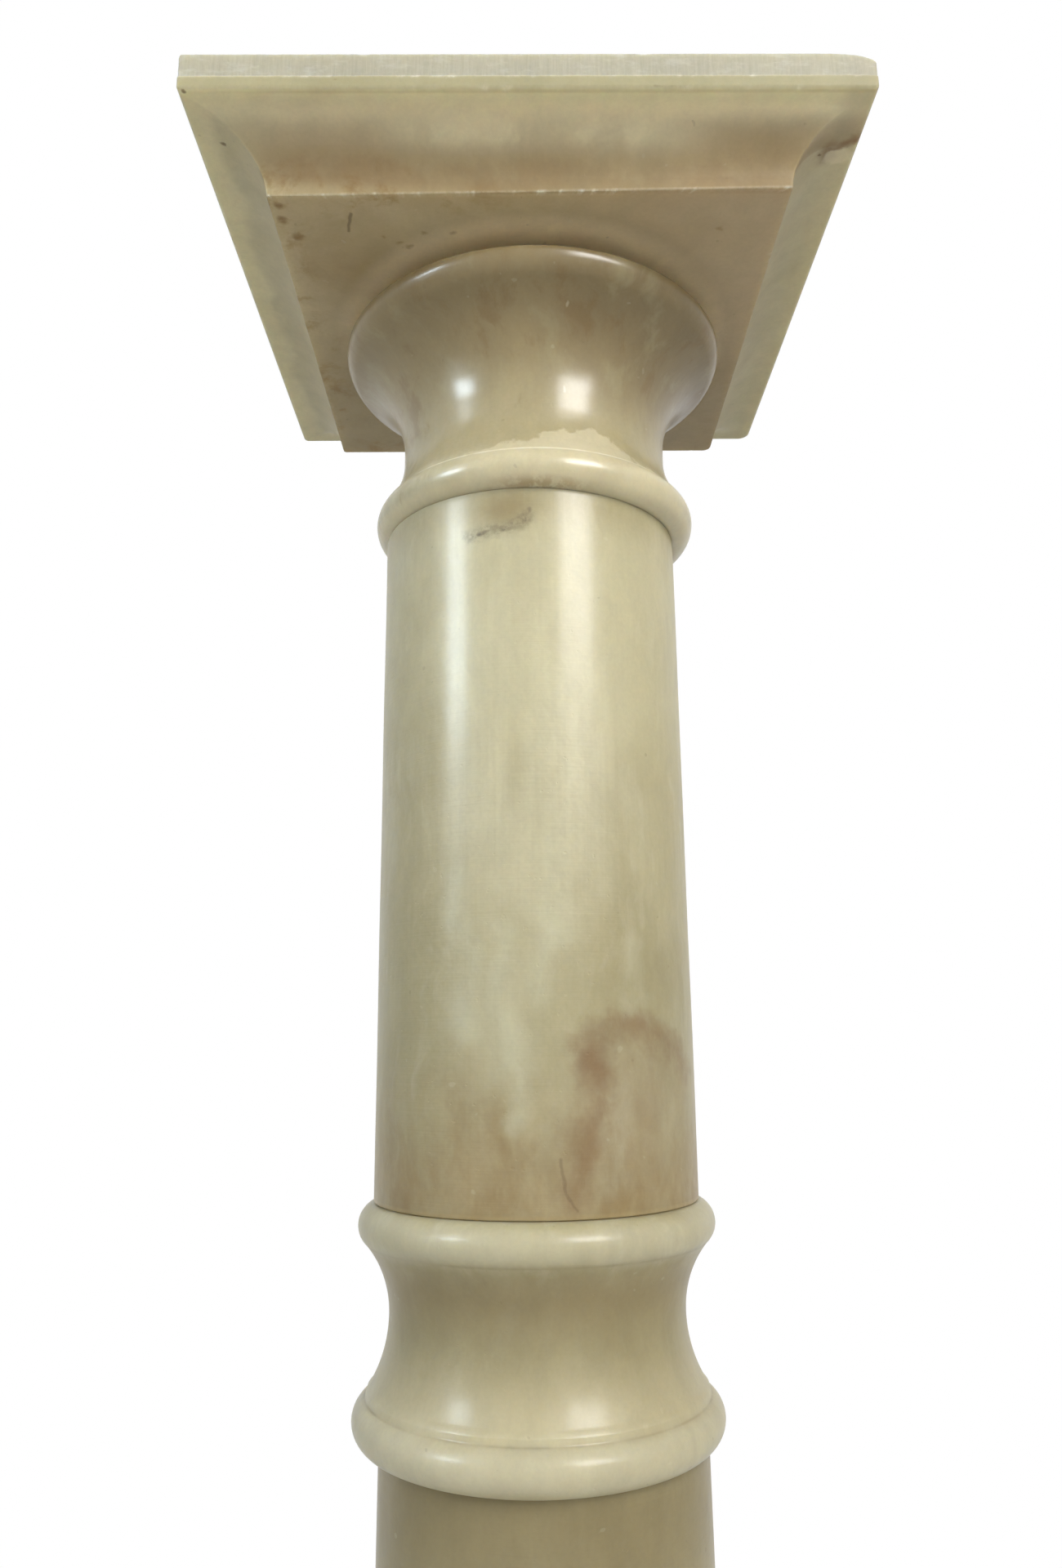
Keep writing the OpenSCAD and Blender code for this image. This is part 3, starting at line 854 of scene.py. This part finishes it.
knopStone = {
    "topBead": 82, "waist": 67.4, "waistZ": 53.5, "above": 47, "below": 60, "fillet": 3.2, "filletIn": 5.7,
    "footBead": 83.3, "beadRound": 10, "around": 384, "seed": 41, "look": {"seed": 5.9, "coat": 0.2},
    "tints": {
        "waist": (0.7, (0.32, 0.27, 0.145)), "underBeadShade": (0.35, (0.25, 0.175, 0.08)),
        "foot": (0.5, (0.66, 0.595, 0.40)), "beads": (0.5, (0.60, 0.575, 0.44))}}


def knopOutline(spec, height):
    # foot bead, small fillet, waist of two hollows and top bead, all arcs but the fillet
    b = spec["beadRound"]
    topBead = (spec["topBead"] - b, height - b)
    footBead = (spec["footBead"] - b, b)
    above = (spec["waist"] + spec["above"], spec["waistZ"])
    below = (spec["waist"] + spec["below"], spec["waistZ"])
    filletR = spec["footBead"] - spec["filletIn"]
    filletTurn = math.degrees(math.acos((b - spec["filletIn"]) / b))
    filletTop = footBead[1] + b * math.sin(math.radians(filletTurn)) + spec["fillet"]
    hollowTurn = math.degrees(math.asin((spec["waistZ"] - filletTop) / spec["below"]))
    beadTurn = crossAngle(topBead, b, above, spec["above"], -1)
    crease = onCircle(topBead, b, beadTurn)
    beadStart = beadTurn if beadTurn < 90 else beadTurn - 360
    outline = joinOutline([
        linePoints((0, 0), (footBead[0], 0), 18),
        lowerBead(footBead, b),
        arcPoints(footBead, b, 0, filletTurn, 0.9),
        linePoints((filletR, filletTop - spec["fillet"]), (filletR - 0.9, filletTop), 0.9),
        arcPoints(below, spec["below"], 178.5 + hollowTurn, 180, 1.3),
        arcPoints(above, spec["above"], 180, bearingTo(above, crease), 1.3),
        arcPoints(topBead, b, beadStart, 90, 0.9),
        linePoints((topBead[0], height), (0, height), 18)])
    return outline, crease, (filletR, filletTop - spec["fillet"]), (filletR, filletTop)


def dressKnop(color, place, bent, near, thin):
    # the waist is darker, with painted shade most of all under the top bead, its up-facing foot is painted
    # paler as painted light, and the beads are pale
    tints = knopStone["tints"]
    z = axes(place)[2]
    spread = vector("LENGTH", vector("MULTIPLY", place, (1, 1, 0)))
    spread = calc("ADD", spread, times(sway(bent, 30, 3), 0.006))
    color = wash(color, fade(spread, 0.0785, 0.0695), tints["waist"])
    # painted shade under the top bead
    underBeadShade = times(fade(z, 0.505, 0.53), fade(z, 0.546, 0.538))
    color = wash(color, underBeadShade, tints["underBeadShade"])
    # painted light: the waist's up-facing foot is painted paler
    color = wash(color, fade(z, 0.512, 0.485), tints["foot"])
    return wash(color, fade(spread, 0.0765, 0.0815), tints["beads"])


knopLine, knopCrease, filletFoot, filletHead = knopOutline(knopStone, heightOf("knop"))
turnedPiece("knop_body", "knop", knopLine, knopStone,
            stone("knop onyx", knopStone["look"], dressKnop),
            creases=[(knopCrease, 0.8, 0.5), (filletFoot, 0.7, 0.5)],
            arrises=[(filletHead, 0.7, 60, (1, 5), (0.03, 0.3), 0)],
            joints=[((75.3, 101.5), 0.6, 0.05)])


baseStone = {
    "ring": 106, "ringRound": 14, "bead": 82, "waistIn": 11, "beadRound": 10, "around": 360, "seed": 51,
    "look": {"seed": 6.6}}


def baseOutline(spec, height):
    # a broad ring, a hollow whose arc stands upright where it meets the waist, and a bead
    b, f = spec["beadRound"], spec["ringRound"]
    bead = (spec["bead"] - b, height - b)
    ring = (spec["ring"] - f, f)
    waist = spec["bead"] - spec["waistIn"]
    rise = bead[1] - b - 2 * f
    spread = ring[0] - waist
    hollow = (rise * rise + spread * spread) / (2 * spread)
    turn = math.degrees(math.asin(rise / hollow))
    outline = joinOutline([
        linePoints((0, 0), (ring[0], 0), 20),
        arcPoints(ring, f, -90, 90, 1.1),
        arcPoints((waist + hollow, bead[1] - b), hollow, 180 + turn, 180, 1.2),
        linePoints((waist, bead[1] - b), (bead[0], bead[1] - b), 1),
        arcPoints(bead, b, -90, 90, 0.9),
        linePoints((bead[0], height), (0, height), 20)])
    return outline, (ring[0], 2 * f), (bead[0], bead[1] - b)


baseLine, ringCrease, beadCrease = baseOutline(baseStone, heightOf("base_moulding"))
turnedPiece("turned_base", "base_moulding", baseLine, baseStone,
            stone("base onyx", baseStone["look"], dressKnop),
            creases=[(ringCrease, 1.2, 0.8), (beadCrease, 1.2, 0.8)],
            joints=[((75, 80), 2, 0.8), ((92, 0), 2, 0.8)])


# the plinth is the top slab's section upside down, squarer and without its faults
plinthStone = {
    **slabStone, "corners": [2, 2, 2, 2], "innerCorners": [1, 1, 1, 1], "perSide": 110, "sawnFrom": 21,
    "skew": 0, "lostCorner": 0, "seed": 61, "look": {"seed": 8.2, "tooling": (260, 260, 40)},
    "saw": {"dark": (0.425, 0.412, 0.34), "light": (0.49, 0.478, 0.41), "share": 0.6}}


def dressPlinth(color, place, bent, near, thin):
    return sawnBand(color, place, plinthStone["saw"])


slabPiece("plinth_block", "plinth", plinthStone,
          stone("plinth onyx", plinthStone["look"], dressPlinth), flip=True)
print("stone pieces made")


studio = {
    "ambient": 0.15, "skyColor": (1, 0.985, 0.95, 1), "floorColor": (0.72, 0.72, 0.70, 1), "floorHalf": 6,
    # each lamp: bearing from the camera's side, distance, width, foot, head, power, colour and what it gives
    "lamps": {
        "left window": (-60, 2.2, 0.50, 1.26, 3.2, 28, (0.88, 0.95, 1), "both"),
        "right window": (34, 2.2, 1.05, 1.26, 3.2, 57, (1, 0.97, 0.90), "both"),
        "front fill": (3, 1.5, 1.4, 0, 1, 3.2, (1, 0.98, 0.94), "shade"),
        "back fill": (180, 2.8, 1.6, 0.4, 2.8, 8, (1, 0.98, 0.94), "shade"),
        "left glint": (-57, 2.2, 0.58, 1.32, 1.92, 39, (0.76, 0.90, 1), "gloss"),
        "low glint": (-60, 2.2, 0.50, 0.7, 1.35, 4, (0.74, 0.89, 1), "gloss"),
        "right glint": (34, 2.2, 0.95, 1.52, 2.4, 70, (1, 1, 1), "gloss")}}


def windowLamp(name, bearing, distance, width, low, high, power, color, gives):
    # an upright soft lamp like a tall window, facing the column; it may give only shade or only gloss
    lamp = bpy.data.lights.new(name, "AREA")
    lamp.shape = "RECTANGLE"
    lamp.size = width
    lamp.size_y = high - low
    lamp.energy = power
    lamp.color = color
    holder = bpy.data.objects.new(name, lamp)
    angle = math.radians(bearing)
    holder.location = (math.sin(angle) * distance, -math.cos(angle) * distance, (low + high) / 2)
    holder.rotation_euler = (math.radians(90), 0, angle)
    holder.visible_camera = False
    holder.visible_glossy = gives != "shade"
    holder.visible_diffuse = gives != "gloss"
    bpy.context.scene.collection.objects.link(holder)


def straightSight(tree):
    # 1 for what the camera sees itself, in a reflection or through glass
    ray = addNode(tree, "ShaderNodeLightPath")
    seen = most(ray.outputs["Is Camera Ray"], ray.outputs["Is Glossy Ray"])
    return most(seen, ray.outputs["Is Transmission Ray"])


for name, settings in studio["lamps"].items():
    windowLamp(name, *settings)

world = bpy.data.worlds.new("white studio")
bpy.context.scene.world = world
world.use_nodes = True
sky = world.node_tree
sky.nodes.clear()
ambient = addNode(sky, "ShaderNodeBackground", {"Color": studio["skyColor"], "Strength": studio["ambient"]})
white = addNode(sky, "ShaderNodeBackground", {"Color": (1, 1, 1, 1), "Strength": 1})
mixed = linked("ShaderNodeMixShader", {0: straightSight(sky), 1: ambient.outputs[0], 2: white.outputs[0]})
linked("ShaderNodeOutputWorld", {"Surface": mixed.outputs[0]})

half = studio["floorHalf"]
floorMesh = bpy.data.meshes.new("studio floor")
floorCorners = [(-half, -half, 0), (half, -half, 0), (half, half, 0), (-half, half, 0)]
floorMesh.from_pydata(floorCorners, [], [(0, 1, 2, 3)])
floor = bpy.data.objects.new("studio_floor", floorMesh)
bpy.context.scene.collection.objects.link(floor)
floorStone = bpy.data.materials.new("pale floor")
floorStone.use_nodes = True
floorTree = floorStone.node_tree
floorShader = floorTree.nodes["Principled BSDF"]
floorShader.inputs["Base Color"].default_value = studio["floorColor"]
floorShader.inputs["Roughness"].default_value = 0.8
# away from the column the floor runs out to the same white as the background
spot = addNode(floorTree, "ShaderNodeTexCoord").outputs["Object"]
far = fade(vector("LENGTH", spot), 0.30, 0.95, 0.45, 1)
bright = addNode(floorTree, "ShaderNodeEmission", {"Color": (1, 1, 1, 1), "Strength": 1})
floorMix = linked("ShaderNodeMixShader", {0: times(far, straightSight(floorTree)),
                                          1: floorShader.outputs[0], 2: bright.outputs[0]})
floorTree.links.new(floorMix.outputs[0], floorTree.nodes["Material Output"].inputs["Surface"])
floorMesh.materials.append(floorStone)

cameraView = {"place": (-0.0061, -0.5695, 0.6335), "turn": (102.2107, 0.5483, -0.4353), "lens": 26.634}
cameraData = bpy.data.cameras.new("camera")
cameraData.lens = cameraView["lens"]
cameraData.sensor_width = 36
cameraData.clip_start = 0.01
camera = bpy.data.objects.new("camera", cameraData)
camera.location = cameraView["place"]
camera.rotation_euler = [math.radians(a) for a in cameraView["turn"]]
bpy.context.scene.collection.objects.link(camera)
bpy.context.scene.camera = camera
bpy.context.scene.view_settings.view_transform = "Standard"

print("studio ready")
